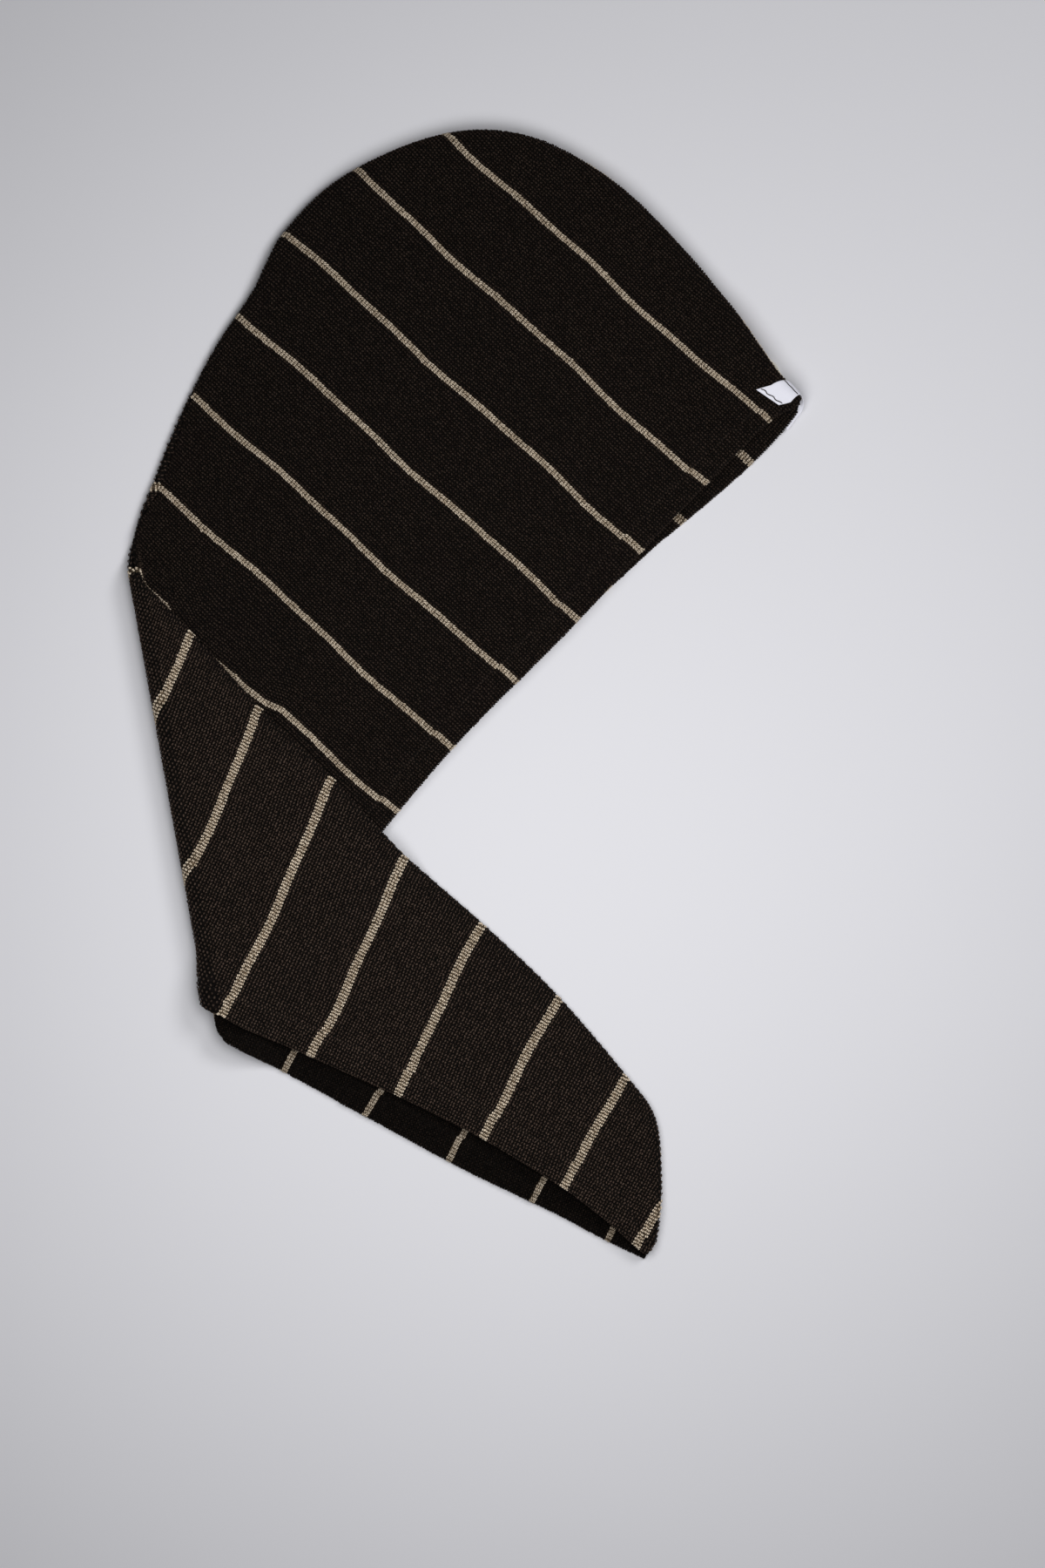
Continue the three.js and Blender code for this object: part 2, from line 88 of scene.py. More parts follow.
# How the towel lies
LAY_TURN = math.radians(47.9)
NAPE_LIFT = 4.2
LIFT_REACH = (20, 52)
HOOD_WAVE = 0.7
WAVE_REACH = (40, 110)
WAVE_HEM = (30, 70)
WAVE_LENGTHS = (23, 31, 27, 61)
NAPE_BUTTON = (-0.7, 25.9)
LOOP_PLACE = (0.935 * OPENING_LENGTH, 0.16 * PANEL_DEPTH)

# Label, a little wider and nearer the nape than the CAD source's
LABEL_EDGE_WIDTH = 9
LABEL_END_WIDTH = 13
LABEL_SLANT = 0.5
LABEL_FAN = 0.25
LABEL_UNDER_SLANT = 0.2
LABEL_DRIFT = 5
LABEL_TOP = 12
LABEL_UNDER = 14
LABEL_THICKNESS = 0.5
LABEL_ROW = 0.29
LABEL_EASE = 0.35
LABEL_SINK = 0.3
LABEL_BOW = 0.7
LABEL_CURL = 0.18
LABEL_STEPS = 17
LABEL_LINES = np.array([-1, -0.95, -0.8, -0.4, 0, 0.4, 0.8, 0.95, 1])
LABEL_EDGES = np.array([0.35, 0.8, 1, 1, 1, 1, 1, 0.8, 0.35])
LABEL_STITCHES = (1.9, 12.6)
LABEL_STITCH_RADIUS = 0.26

# Crown seam from the nape to the tip: share of the length, share of the depth, lean of the section
SEAM = np.array([
    (-0.008, 0.016, 2.00),
    (-0.012, 0.097, 1.45),
    (-0.024, 0.236, 1.10),
    (-0.033, 0.405, 0.88),
    (-0.035, 0.579, 0.78),
    (-0.022, 0.737, 0.68),
    (0.005, 0.848, 0.62),
    (0.046, 0.927, 0.58),
    (0.104, 0.987, 0.56),
    (0.158, 0.996, 0.58),
    (0.186, 0.980, 0.63),
    (0.209, 0.963, 0.68),
    (0.255, 0.946, 0.72),
    (0.296, 0.919, 0.735),
    (0.331, 0.889, 0.755),
    (0.366, 0.854, 0.765),
    (0.396, 0.823, FOLD_LEAN),
    (0.423, 0.783, FOLD_LEAN),
    (0.450, 0.757, FOLD_LEAN),
    (0.491, 0.720, 0.67),
    (0.558, 0.655, 0.49),
    (0.632, 0.596, 0.23),
    (0.709, 0.524, 0.04),
    (0.784, 0.474, 0.0),
    (0.856, 0.418, 0.0),
    (0.930, 0.339, 0.0),
    (0.965, 0.289, 0.0),
    (0.991, 0.182, 0.0),
    (1.002, 0.115, 0.0),
    (1.007, 0.076, 0.0),
])

# Opening edges: share of the length, then the upper and lower panels' edges as shares of the depth
EDGE = np.array([
    (-0.010, 0.011, 0.007),
    (0.018, 0.032, 0.001),
    (0.051, 0.038, 0.004),
    (0.095, 0.043, 0.017),
    (0.143, 0.048, 0.036),
    (0.230, 0.050, 0.056),
    (0.363, 0.065, 0.070),
    (0.521, 0.050, 0.066),
    (0.614, 0.052, 0.088),
    (0.653, 0.037, 0.080),
    (0.711, 0.034, 0.087),
    (0.786, 0.030, 0.098),
    (0.859, 0.027, 0.100),
    (0.931, 0.033, 0.087),
    (0.970, 0.032, 0.068),
    (1.002, 0.034, 0.046),
])

# Mesh rows, as spans of the seam table with the rows in each, and columns from the seam and the hem
ROW_SPANS = [
    (0, 1, 12), (1, 12, 66), (12, 16, 32), (16, 18.4, 58), (18.4, 23, 46), (23, 28, 34), (28, 29, 14),
]
SEAM_COLUMNS = [0, 0.5, 1.1, 1.8, 2.6, 3.5, 4.6, 6, 8, 10.5, 13.5]
MIDDLE_COLUMNS = 16
HEM_COLUMNS = [30, 25, 21, 17.5, 15.4, 14.4, 13.7, 13, 12.3, 11.6, 10, 7.5, 5, 3.4, 2.2, 1.4, 0.8, 0.3, 0]
COLUMNS_NEED = 50

# Terry pile
PILE_DEPTH = 0.62
INNER_PILE_DEPTH = 0.45
LOOP_PITCH = 1.58
LOOP_HALF_LENGTH = 0.95
LOOP_HALF_WIDTH = 0.58
LOOP_HEIGHT = 0.8
LOOP_TURN = 0.3
# Brightness of each panel's brown pile: the lower panel's, which lies on top as the tail, is drawn 2.2 times
# as bright as the upper's
UPPER_LIGHT = 1.05
LOWER_LIGHT = 2.2
# Painted shade: the pile inside each hem is drawn at 0.4 of its brightness, for the shade inside the opening
INNER_PAINTED_SHADE = 0.4
CREAM_VALUE = 0.62
CREAM_LIGHT_SHARE = 0.23
LOOP_SIZES = (0.86, 1.16)
LOOP_TURN_SPREAD = 0.2
LOOP_JITTER = 0.08
LOOP_LEAN = 0.18
PILE_TRIANGLES = 190000
STITCH_GROOVE = 0.5
STITCH_STEP = 3.4
STITCH_SHARE = 0.84
STITCH_RADIUS = 0.22

# Where the outer pile is fine, and where the pile inside each hem shows
SEEN_SLOPE = -0.3
UPPER_INSIDE_FROM = 340
LOWER_INSIDE_TO = 170
INSIDE_STRIP = HEM_WIDTH + 8.5

# Rows of pile that part beside the crown seam, towards the tail
PARTED_REACH = (6, 13)
PARTED_ALONG = (150, 230)
PARTED_LONGER = 0.15
PARTED_THINNER = 0.28

# Stripes across each panel: distances along the opening, at the crown seam and at the hem
UPPER_STRIPES = [
    -26.5, 14.5, 57.5, 103, 148, 192, 236.5, 277.5, 322, 368, 413, 458.7, 502.7, 549.4, 595.5, 638,
]
LOWER_STRIPES_SEAM = [-11, 34.4, 78.7, 126, 173, 239.4, 277.5, 318, 365, 413, 462, 510, 559.5, 606]
LOWER_STRIPES_HEM = [-11, 34.4, 78.7, 126, 173, 222, 276, 330, 375, 420, 467, 512, 560, 606]
UPPER_COLUMNS = 28
LOWER_COLUMNS = 30
UPPER_CREAM_COLUMNS = 2
LOWER_CREAM_COLUMNS = 3
UPPER_CREAM_LENGTH = 1.1
LOWER_CREAM_LENGTH = 0.8
STRIPE_SPACING = 45
GROUND_STRIPE_WIDTH = 3.2
STRIPE_WANDER = [(0.7, 19, 0.031), (0.4, 8.1, -0.07)]

# Stripe of the lower panel that follows the crown seam above the nape
CROWN_ROLL = 1.5
CROWN_ROLL_RISE = (10, 25)
CROWN_ROLL_FADE = (145, 175)
CROWN_ROLL_ALONG = 20
CROWN_STRIPE = [(0, -5), (17, -7.2), (39, -11.2), (60, -14.2), (100, -19.6), (118, -21), (144, -21.4)]

# Part of the stripe beside the tail that is tucked under it
STRIPE_TUCK = 4.5
TUCK_ALONG = 279
TUCK_REACH = (8, 40)
TUCK_START = (93, 104)
TUCK_END = (154, 166)

# Camera over the middle of the picture, which is FRAME_HEIGHT tall at the height of the cloth
FRAME_CENTRE = (27.9, -43.7)
FRAME_HEIGHT = 766.8
CLOTH_LEVEL = 10
CAMERA_DISTANCE = 2000
SENSOR = 36

# Light, in metres and watts
WORLD_STRENGTH = 0.03
WINDOW = {"place": (0.85, 0.55, 1.15), "size": 0.6, "energy": 9.45, "target": (0.05, -0.05, 0)}
OVERHEAD = {"place": (0, -0.1, 0.6), "size": 0.5, "energy": 3.25, "target": (0, -0.1, 0)}
FLOOR_HALF = 2.5


def smooth(value, span):
    share = np.clip((value - span[0]) / (span[1] - span[0]), 0, 1)
    return share * share * (3 - 2 * share)


def mix(low, high, share):
    return low + (high - low) * share


def read_row(column, row):
    """Smooth curve through a table's column, read at fractional rows."""
    last = len(column) - 1
    at = np.clip(row, 0, last)
    i = np.minimum(np.floor(at).astype(int), last - 1)
    t = at - i
    ends = [2 * column[0] - column[1]], [2 * column[-1] - column[-2]]
    padded = np.concatenate([ends[0], column, ends[1]])
    a, b, c, d = (padded[i + k] for k in range(4))
    cubic = 3 * b - a - 3 * c + d
    square = 2 * a - 5 * b + 4 * c - d
    return b + 0.5 * t * (c - a + t * (square + t * cubic))


def read_edge(column, along):
    """Distance of a panel's edge from the opening line."""
    share = along / OPENING_LENGTH
    starts = EDGE[:, 0]
    i = np.searchsorted(starts[1:-1], share, side="left")
    span = starts[i + 1] - starts[i]
    return read_row(EDGE[:, column], i + (share - starts[i]) / span) * PANEL_DEPTH


FOLD_PAST = np.array([math.sin(FOLD_TURN), math.cos(FOLD_TURN)])
FOLD_DOWN = np.array([math.cos(FOLD_TURN), -math.sin(FOLD_TURN)])
FOLD_POINT = np.array([FOLD_ALONG * OPENING_LENGTH, FOLD_ACROSS * PANEL_DEPTH])


def to_fold(point):
    offset = point - FOLD_POINT
    return offset @ FOLD_PAST, offset @ FOLD_DOWN


def from_fold(past, down):
    return FOLD_POINT + past[..., None] * FOLD_PAST + down[..., None] * FOLD_DOWN


def distance_to(point, place):
    return np.hypot(point[..., 0] - place[0], point[..., 1] - place[1])


def room_at(point):
    """Free height between the inner faces of the panels."""
    past, _ = to_fold(point)
    nape_share = mix(NAPE_ROOM_SHARE, 1, smooth(distance_to(point, (0, 0)), NAPE_REACH))
    hood = (HOOD_ROOM - FLAT_ROOM) * smooth(-past, HOOD_REACH) * nape_share
    hem = HEM_ROOM * (1 - smooth(point[..., 1], HEM_REACH))
    tip = TIP_ROOM * (1 - smooth(distance_to(point, LOOP_PLACE), TIP_REACH))
    fold = FOLD_ROOM * (1 - smooth(np.abs(past), FOLD_REACH))
    return FLAT_ROOM + hood + hem + tip + fold


def lift_at(point):
    return NAPE_LIFT * (1 - smooth(distance_to(point, NAPE_BUTTON), LIFT_REACH))


def wave_at(point):
    """Soft waves in the top of the hood."""
    past, _ = to_fold(point)
    x, y = point[..., 0], point[..., 1]
    first, second, third, fourth = WAVE_LENGTHS
    inside = smooth(-past, WAVE_REACH) * smooth(y, WAVE_HEM)
    return HOOD_WAVE * inside * np.sin(x / first + y / second) * np.cos(y / third - x / fourth)


def top_of_hood(point):
    return 2 * CLOTH + room_at(point) + lift_at(point) + wave_at(point)


def lay(point, height):
    """Folds the tail over the hood and turns the whole as it lies, in the CAD source's own place."""
    point = np.asarray(point, float)
    past, down = to_fold(point)
    start = -0.5 * math.pi * FOLD_RADIUS
    turn = math.pi * FOLD_RADIUS
    run = past - start
    axis = top_of_hood(from_fold(0 * down, down)) + FOLD_INNER
    angle = np.clip(run, 0, turn) / FOLD_RADIUS
    bent = from_fold(start + (axis - height) * np.sin(angle), down)
    bent_height = axis - (axis - height) * np.cos(angle)
    over = from_fold(-past, down)
    top = top_of_hood(point)
    resting = smooth(over[..., 1], REST_REACH) * (top_of_hood(over) + LAYER_GAP)
    rest = mix(2 * axis - top, resting, smooth(run - turn, (0, FOLD_SETTLE)))
    flat, turning = run <= 0, run < turn
    spot = np.where(flat[..., None], point, np.where(turning[..., None], bent, over))
    z = np.where(flat, height, np.where(turning, bent_height, rest + top - height))
    x = -spot[..., 0] * math.cos(LAY_TURN) - spot[..., 1] * math.sin(LAY_TURN)
    y = -spot[..., 0] * math.sin(LAY_TURN) + spot[..., 1] * math.cos(LAY_TURN)
    return np.stack([x, y, z], axis=-1)


def section_at(row):
    """Section line of the shell, from the seam down to the opening line."""
    seam = np.stack([
        read_row(SEAM[:, 0], row) * OPENING_LENGTH,
        read_row(SEAM[:, 1], row) * PANEL_DEPTH,
    ], axis=-1)
    lean = read_row(SEAM[:, 2], row)
    opening = np.stack([seam[..., 0] + lean * seam[..., 1], 0 * lean], axis=-1)
    length = np.linalg.norm(opening - seam, axis=-1)
    deep = CLOTH + room_at(seam)
    past, _ = to_fold(seam)
    full = smooth(-past, ROUND_REACH)
    edge = np.minimum(0.5 * deep * mix(1, EDGE_ROUNDNESS, full), 0.6 * length)
    quarter = 0.5 * math.pi * np.sqrt((edge ** 2 + 0.25 * deep ** 2) / 2)
    roll = SEAM_ROLL * smooth(past, ROLL_RISE) * (1 - smooth(past, ROLL_FADE))
    above_nape = smooth(seam[..., 1], CROWN_ROLL_RISE) * (1 - smooth(seam[..., 1], CROWN_ROLL_FADE))
    roll = roll + CROWN_ROLL * above_nape * (seam[..., 0] < CROWN_ROLL_ALONG)
    return {
        "seam": seam, "opening": opening, "lean": lean, "length": length,
        "edge": edge, "quarter": quarter, "roll": roll,
    }


def along_section(section, inward):
    share = (inward / section["length"][:, None])[..., None]
    return mix(section["seam"][:, None], section["opening"][:, None], share)


def middle_at(section, side, distance):
    """Middle of the cloth at distances round each section, counted from its outermost point."""
    edge = section["edge"][:, None]
    quarter = section["quarter"][:, None]
    reach = np.abs(distance)
    face = np.where(distance < 0, -side, side)
    angle = 0.5 * math.pi * np.minimum(reach / quarter, 1)
    inward = np.where(reach < quarter, edge * (1 - np.cos(angle)), edge + reach - quarter)
    point = along_section(section, inward)
    half = 0.5 * (top_of_hood(point) - lift_at(point) - CLOTH)
    flat = 0.5 * CLOTH + lift_at(point) + half * (1 + face * np.sin(angle))
    return lay(point, flat)


def columns_of(section, side):
    """Distances round the sections, and each column's distance from the seam and from the hem."""
    across = 0
    for _ in range(4):
        across = read_edge(1 if side > 0 else 2, section["opening"][:, 0] - section["lean"] * across)
    inward = section["length"] * (1 - across / section["seam"][:, 1])
    end = section["quarter"] + inward - section["edge"]
    start = side * section["roll"] + 0.5 * SEAM_GAP
    total = end - start
    scale = np.minimum(1, total / COLUMNS_NEED)
    first = SEAM_COLUMNS[-1] * scale
    last = total - HEM_COLUMNS[0] * scale
    middle = [mix(first, last, (i + 1) / (MIDDLE_COLUMNS + 1)) for i in range(MIDDLE_COLUMNS)]
    gaps = [gap * scale for gap in SEAM_COLUMNS] + middle + [total - gap * scale for gap in HEM_COLUMNS]
    gaps = np.stack(gaps, axis=1)
    full = len(SEAM_COLUMNS) + MIDDLE_COLUMNS
    seam = np.full(gaps.shape, 99.0)
    seam[:, :len(SEAM_COLUMNS)] = SEAM_COLUMNS
    hem = np.full(gaps.shape, 99.0)
    hem[:, full:] = HEM_COLUMNS
    return start[:, None] + gaps, seam, hem


def unit(vectors):
    return vectors / np.maximum(np.linalg.norm(vectors, axis=-1, keepdims=True), 1e-12)


def stripe_count(side, pattern, seam_across):
    """Running number of the stripe, whole at each stripe's centre line."""
    along, across = pattern[..., 0], pattern[..., 1]
    wander = sum(size * np.sin(across / length + along * drift) for size, length, drift in STRIPE_WANDER)
    place = along + wander
    if side > 0:
        beside = 1 - smooth(np.abs(along - TUCK_ALONG), TUCK_REACH)
        place = place - STRIPE_TUCK * beside * smooth(across, TUCK_START) * (1 - smooth(across, TUCK_END))
    else:
        crown = np.interp(across, *zip(*CROWN_STRIPE)) - LOWER_STRIPES_SEAM[0]
        place = place - crown * (1 - smooth(along, (LOWER_STRIPES_SEAM[0], LOWER_STRIPES_SEAM[1] - 4)))

    def read(stripes):
        first = stripes[0] - 2 * STRIPE_SPACING
        last = stripes[-1] + 2 * STRIPE_SPACING
        steps = [0, *range(2, len(stripes) + 2), len(stripes) + 3]
        return np.interp(place, [first, *stripes, last], steps)

    if side > 0:
        return read(UPPER_STRIPES)
    return mix(read(LOWER_STRIPES_HEM), read(LOWER_STRIPES_SEAM), np.clip(across / seam_across, 0, 1))


def flat_cloth_at(section, at):
    """Cloth coordinates along each section; past the outermost line they go on as if folded there."""
    inward = np.maximum(at, 0) + (section["edge"] - section["quarter"])[:, None]
    line = unit(section["opening"] - section["seam"])
    seamward = unit(np.gradient(section["seam"], axis=0))
    folded = 2 * np.sum(line * seamward, axis=1)[:, None] * seamward - line
    return along_section(section, inward) + np.maximum(-at, 0)[..., None] * folded[:, None]


def panel_grid(side):
    """The panel's ground cloth as grids: outer and inner points, outward directions and cloth coordinates."""
    rows = [np.linspace(a, b, n, endpoint=False) for a, b, n in ROW_SPANS]
    section = section_at(np.concatenate([*rows, [ROW_SPANS[-1][1]]]))
    at, seam, hem = columns_of(section, side)
    middle = middle_at(section, side, at)
    beyond = middle_at(section, side, 2 * at[:, :1] - at[:, 1:2])
    wide = np.concatenate([beyond, middle, middle[:, -1:]], axis=1)
    tall = np.concatenate([middle[:1], middle, middle[-1:]], axis=0)
    outward = side * unit(np.cross(tall[2:] - tall[:-2], wide[:, 2:] - wide[:, :-2]))
    ending = np.ones(len(middle))
    ending[[0, -1]] = 0.6
    hem_end = mix(0.4, 1, smooth(hem, (-0.9, 2.2))) * ending[:, None]
    seam_out = mix(0.7, 1, smooth(seam, (-0.6, 1.8)))
    seam_in = mix(0.35, 1, smooth(seam, (-0.6, 2.4)))
    turned = HEM_FOLD * (1 - smooth(hem, (HEM_WIDTH - 1, HEM_WIDTH + 0.6)))
    groove = STITCH_GROOVE * np.exp(-((hem - HEM_WIDTH) / 0.8) ** 2)
    outside = (0.5 * CLOTH - PILE_DEPTH) * hem_end * seam_out - groove
    inside = (0.5 * CLOTH - INNER_PILE_DEPTH + turned) * hem_end * seam_in
    pattern = flat_cloth_at(section, at)
    pattern[..., 0] += 0.9 * (1 - smooth(hem, (HEM_WIDTH - 0.8, HEM_WIDTH + 0.8)))
    return {
        "outer": middle + outward * outside[..., None],
        "inner": middle - outward * inside[..., None],
        "outward": outward,
        "pattern": pattern,
        "hem": hem,
        "seam": seam,
        "stripe": stripe_count(side, pattern, section["seam"][:, None, 1]),
        "columns": UPPER_COLUMNS if side > 0 else LOWER_COLUMNS,
        "cream_columns": UPPER_CREAM_COLUMNS if side > 0 else LOWER_CREAM_COLUMNS,
        "light": UPPER_LIGHT if side > 0 else LOWER_LIGHT,
    }


def shift_to_frame():
    """Offset from the CAD source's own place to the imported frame, read from where the button is."""
    low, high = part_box("button")
    spot = lay(np.array(NAPE_BUTTON), np.float64(0))
    middle = [0.5 * (low[0] + high[0]) / MM, 0.5 * (low[1] + high[1]) / MM, low[2] / MM]
    return np.array(middle) - [spot[0], spot[1], 0]


SHIFT = shift_to_frame()


def add_mesh(name, points, faces, material, attributes=None):
    """Object from arrays of points in millimetres and of faces that all have as many corners."""
    mesh = bpy.data.meshes.new(name)
    corners = faces.shape[1]
    mesh.vertices.add(len(points))
    mesh.vertices.foreach_set("co", (points * MM).astype(np.float32).ravel())
    mesh.loops.add(faces.size)
    mesh.loops.foreach_set("vertex_index", faces.astype(np.int32).ravel())
    mesh.polygons.add(len(faces))
    mesh.polygons.foreach_set("loop_start", np.arange(0, faces.size, corners, dtype=np.int32))
    mesh.update(calc_edges=True)
    mesh.shade_smooth()
    for key, values in (attributes or {}).items():
        layer = mesh.attributes.new(key, "FLOAT", "POINT")
        layer.data.foreach_set("value", np.ravel(values).astype(np.float32))
    mesh.materials.append(material)
    obj = bpy.data.objects.new(name, mesh)
    bpy.context.scene.collection.objects.link(obj)
    return obj


def finish_piece(obj):
    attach(obj, "root")


def grid_faces(count, width):
    """Quads of a grid of points, row by row."""
    start = (np.arange(count - 1)[:, None] * width + np.arange(width - 1)).ravel()
    return np.stack([start, start + width, start + width + 1, start + 1], axis=1)


def closed_sheet(count, width, side):
    """Quads of two facing grids joined along their borders."""
    top = grid_faces(count, width)
    offset = count * width
    under = top[:, ::-1] + offset
    walls = []
    line = np.arange(count - 1) * width
    last = line + width - 1
    walls.append(np.stack([line, line + offset, line + offset + width, line + width], axis=1))
    walls.append(np.stack([last, last + width, last + offset + width, last + offset], axis=1))
    ends = np.arange(width - 1)
    tip = ends + (count - 1) * width
    walls.append(np.stack([ends, ends + 1, ends + offset + 1, ends + offset], axis=1))
    walls.append(np.stack([tip, tip + offset, tip + offset + 1, tip + 1], axis=1))
    faces = np.concatenate([top, under, *walls])
    return faces if side > 0 else faces[:, ::-1]


def ground_cloth(name, grid, side, material):
    """The woven ground of a panel, a closed sheet under its pile."""
    count, width = grid["hem"].shape
    points = np.concatenate([grid["outer"].reshape(-1, 3), grid["inner"].reshape(-1, 3)]) + SHIFT
    points[:, 2] = np.maximum(points[:, 2], 0.05)
    twice = {
        "along": np.tile(grid["pattern"][..., 0].ravel(), 2),
        "across": np.tile(grid["pattern"][..., 1].ravel(), 2),
        "stripe": np.tile(grid["stripe"].ravel(), 2),
    }
    return add_mesh(name, points, closed_sheet(count, width, side), material, twice)


def loop_column(grid, stripe):
    """Column number of the pile, from 0 at the first column of each cream stripe."""
    return stripe * grid["columns"] + 0.5 * (grid["cream_columns"] - 1)


def sites_on(surface, grid, keep):
    """Places of the terry loops on a surface: columns along the stripes, rows across them."""
    count, width = grid["hem"].shape
    quads = grid_faces(count, width)
    corners = np.concatenate([quads[:, [0, 1, 2]], quads[:, [0, 2, 3]]])
    corners = corners[keep.ravel()[corners].all(axis=1)]
    lattice = np.stack([loop_column(grid, grid["stripe"]), grid["pattern"][..., 1] / LOOP_PITCH], axis=-1)
    place = lattice.reshape(-1, 2)[corners]
    low = place.min(axis=1)
    high = place.max(axis=1)
    first_line = np.ceil(low[:, 1])
    edge_one = place[:, 1] - place[:, 0]
    edge_two = place[:, 2] - place[:, 0]
    area = edge_one[:, 0] * edge_two[:, 1] - edge_one[:, 1] * edge_two[:, 0]
    area = np.where(np.abs(area) < 1e-9, 1e-9, area)
    lines = int(np.max(high[:, 1] - first_line)) + 1
    steps = int(np.max(high[:, 0] - low[:, 0])) + 2
    found, shares, column = [], [], []
    for line in range(lines):
        v = first_line + line
        for step in range(steps):
            u = np.ceil(low[:, 0]) + step
            du = u - place[:, 0, 0]
            dv = v - place[:, 0, 1]
            b = (du * edge_two[:, 1] - dv * edge_two[:, 0]) / area
            c = (edge_one[:, 0] * dv - edge_one[:, 1] * du) / area
            inside = np.nonzero((b >= 0) & (c >= 0) & (b + c < 1))[0]
            found.append(inside)
            shares.append(np.stack([1 - b - c, b, c], axis=1)[inside])
            column.append(u[inside])
    found = np.concatenate(found)
    shares = np.concatenate(shares)
    corners = corners[found]

    def read(values):
        return np.einsum("nk,nk...->n...", shares, values.reshape(count * width, -1)[corners])

    points = surface.reshape(-1, 3)[corners]
    one = points[:, 1] - points[:, 0]
    two = points[:, 2] - points[:, 0]
    grain = unit((one * edge_two[found, 1:] - two * edge_one[found, 1:]) / area[found, None])
    return {
        "point": read(surface),
        "outward": unit(read(grid["outward"])),
        "grain": grain,
        "pattern": read(grid["pattern"]),
        "hem": read(grid["hem"])[:, 0],
        "seam": read(grid["seam"])[:, 0],
        "column": np.concatenate(column) % grid["columns"],
        "cream_columns": np.full(len(found), grid["cream_columns"]),
        "light": np.full(len(found), grid["light"]),
    }


def join_sites(*groups):
    return {key: np.concatenate([group[key] for group in groups]) for key in groups[0]}


def pick(sites, chosen):
    return {key: values[chosen] for key, values in sites.items()}


# Loop shapes, in shares of half length, half width and height: one ridge, two side by side, a plain grain
RIDGE_POINTS = np.array([
    (-1, 0, -0.15), (-0.42, 0, 1), (-0.42, -1, 0.3), (-0.42, 1, 0.3),
    (0.42, 0, 1), (0.42, -1, 0.3), (0.42, 1, 0.3), (1, 0, -0.15),
])
RIDGE_FACES = np.array([
    (0, 2, 1), (0, 1, 3), (0, 3, 2), (1, 2, 5), (1, 5, 4), (1, 4, 6),
    (1, 6, 3), (3, 6, 5), (3, 5, 2), (7, 4, 5), (7, 6, 4), (7, 5, 6),
])
PAIR_POINTS = np.concatenate([RIDGE_POINTS * [1, 0.72, 1] + [0, side * 0.66, 0] for side in (-1, 1)])
PAIR_FACES = np.concatenate([RIDGE_FACES, RIDGE_FACES + len(RIDGE_POINTS)])
GRAIN_POINTS = np.array([(-1, 0.6, 0), (1, 0.6, 0), (0, -1.1, 0), (0, 0.1, 1)])
GRAIN_FACES = np.array([(0, 1, 2), (0, 3, 1), (1, 3, 2), (2, 3, 0)])


def loop_arrays(sites, shape, faces, draw):
    """Points, faces and shades of one loop at every site, lying across the stripes."""
    count = len(sites["hem"])
    outward, grain = sites["outward"], sites["grain"]
    grain = unit(grain - outward * np.sum(grain * outward, axis=1, keepdims=True))
    beside = np.cross(outward, grain)
    turn = LOOP_TURN * (2 * (sites["column"] % 2) - 1) + draw.normal(0, LOOP_TURN_SPREAD, count)
    long = beside * np.cos(turn)[:, None] + grain * np.sin(turn)[:, None]
    wide = np.cross(outward, long)
    jitter = draw.normal(0, LOOP_JITTER, (count, 2))
    centre = sites["point"] + grain * jitter[:, :1] + beside * jitter[:, 1:]
    cream = sites["column"] < sites["cream_columns"] - 0.5
    longer = np.where(sites["cream_columns"] > 2, LOWER_CREAM_LENGTH, UPPER_CREAM_LENGTH)
    towards_tail = smooth(sites["pattern"][:, 0], PARTED_ALONG)
    parted = (1 - smooth(sites["seam"], PARTED_REACH)) * towards_tail * ~cream
    size = draw.uniform(*LOOP_SIZES, (count, 3))
    size[:, 0] *= np.where(cream, longer, 1 + PARTED_LONGER * parted)
    size[:, 1] *= 1 - PARTED_THINNER * parted
    pressed = mix(0.45, 1, smooth(np.abs(sites["hem"] - HEM_WIDTH), (0.3, 1.8)))
    pressed = pressed * mix(0.6, 1, smooth(sites["seam"], (0, 2.2)))
    scaled = shape[None] * (size * [LOOP_HALF_LENGTH, LOOP_HALF_WIDTH, LOOP_HEIGHT])[:, None]
    scaled[..., 2] *= pressed[:, None]
    lean = draw.normal(0, LOOP_LEAN, (count, 1)) * scaled[..., 2]
    points = centre[:, None] + scaled[..., :1] * long[:, None]
    points = points + (scaled[..., 1:2] + lean[..., None]) * wide[:, None]
    points = points + scaled[..., 2:] * outward[:, None]
    tone = draw.uniform(0.1, 0.9, count)
    # Cream loops take only a share of the panel's brightness, and of the painted shade inside the hems
    light = np.where(cream, CREAM_VALUE + CREAM_LIGHT_SHARE * sites["light"], sites["light"])
    shapes = np.arange(count)[:, None, None] * len(shape) + faces
    height = np.clip(shape[:, 2], 0, 1)
    attributes = {
        "cream": np.repeat(cream.astype(float), len(shape)),
        "tone": np.repeat(tone, len(shape)),
        "light": np.repeat(light, len(shape)),
        "height": np.tile(height, count),
    }
    return points.reshape(-1, 3), shapes.reshape(-1, 3), attributes


def add_pile(name, sites, shape, faces, draw, material):
    """Pile in pieces of a limited size, cut along the towel's length; cream loops are pairs."""
    order = np.argsort(sites["pattern"][:, 0], kind="stable")
    parts = math.ceil(1.12 * len(order) * len(faces) / PILE_TRIANGLES)
    pieces = []
    for i, chosen in enumerate(np.array_split(order, parts)):
        part = pick(sites, chosen)
        double = (part["column"] < part["cream_columns"] - 0.5) & (len(faces) == len(RIDGE_FACES))
        points, triangles, attributes = loop_arrays(pick(part, ~double), shape, faces, draw)
        if double.any():
            more, others, extra = loop_arrays(pick(part, double), PAIR_POINTS, PAIR_FACES, draw)
            triangles = np.concatenate([triangles, others + len(points)])
            points = np.concatenate([points, more])
            attributes = {key: np.concatenate([attributes[key], extra[key]]) for key in extra}
        points = points + SHIFT
        points[:, 2] = np.maximum(points[:, 2], 0.02)
        pieces.append(add_mesh(f"{name}_{i + 1}", points, triangles, material, attributes))
        finish_piece(pieces[-1])
    return pieces


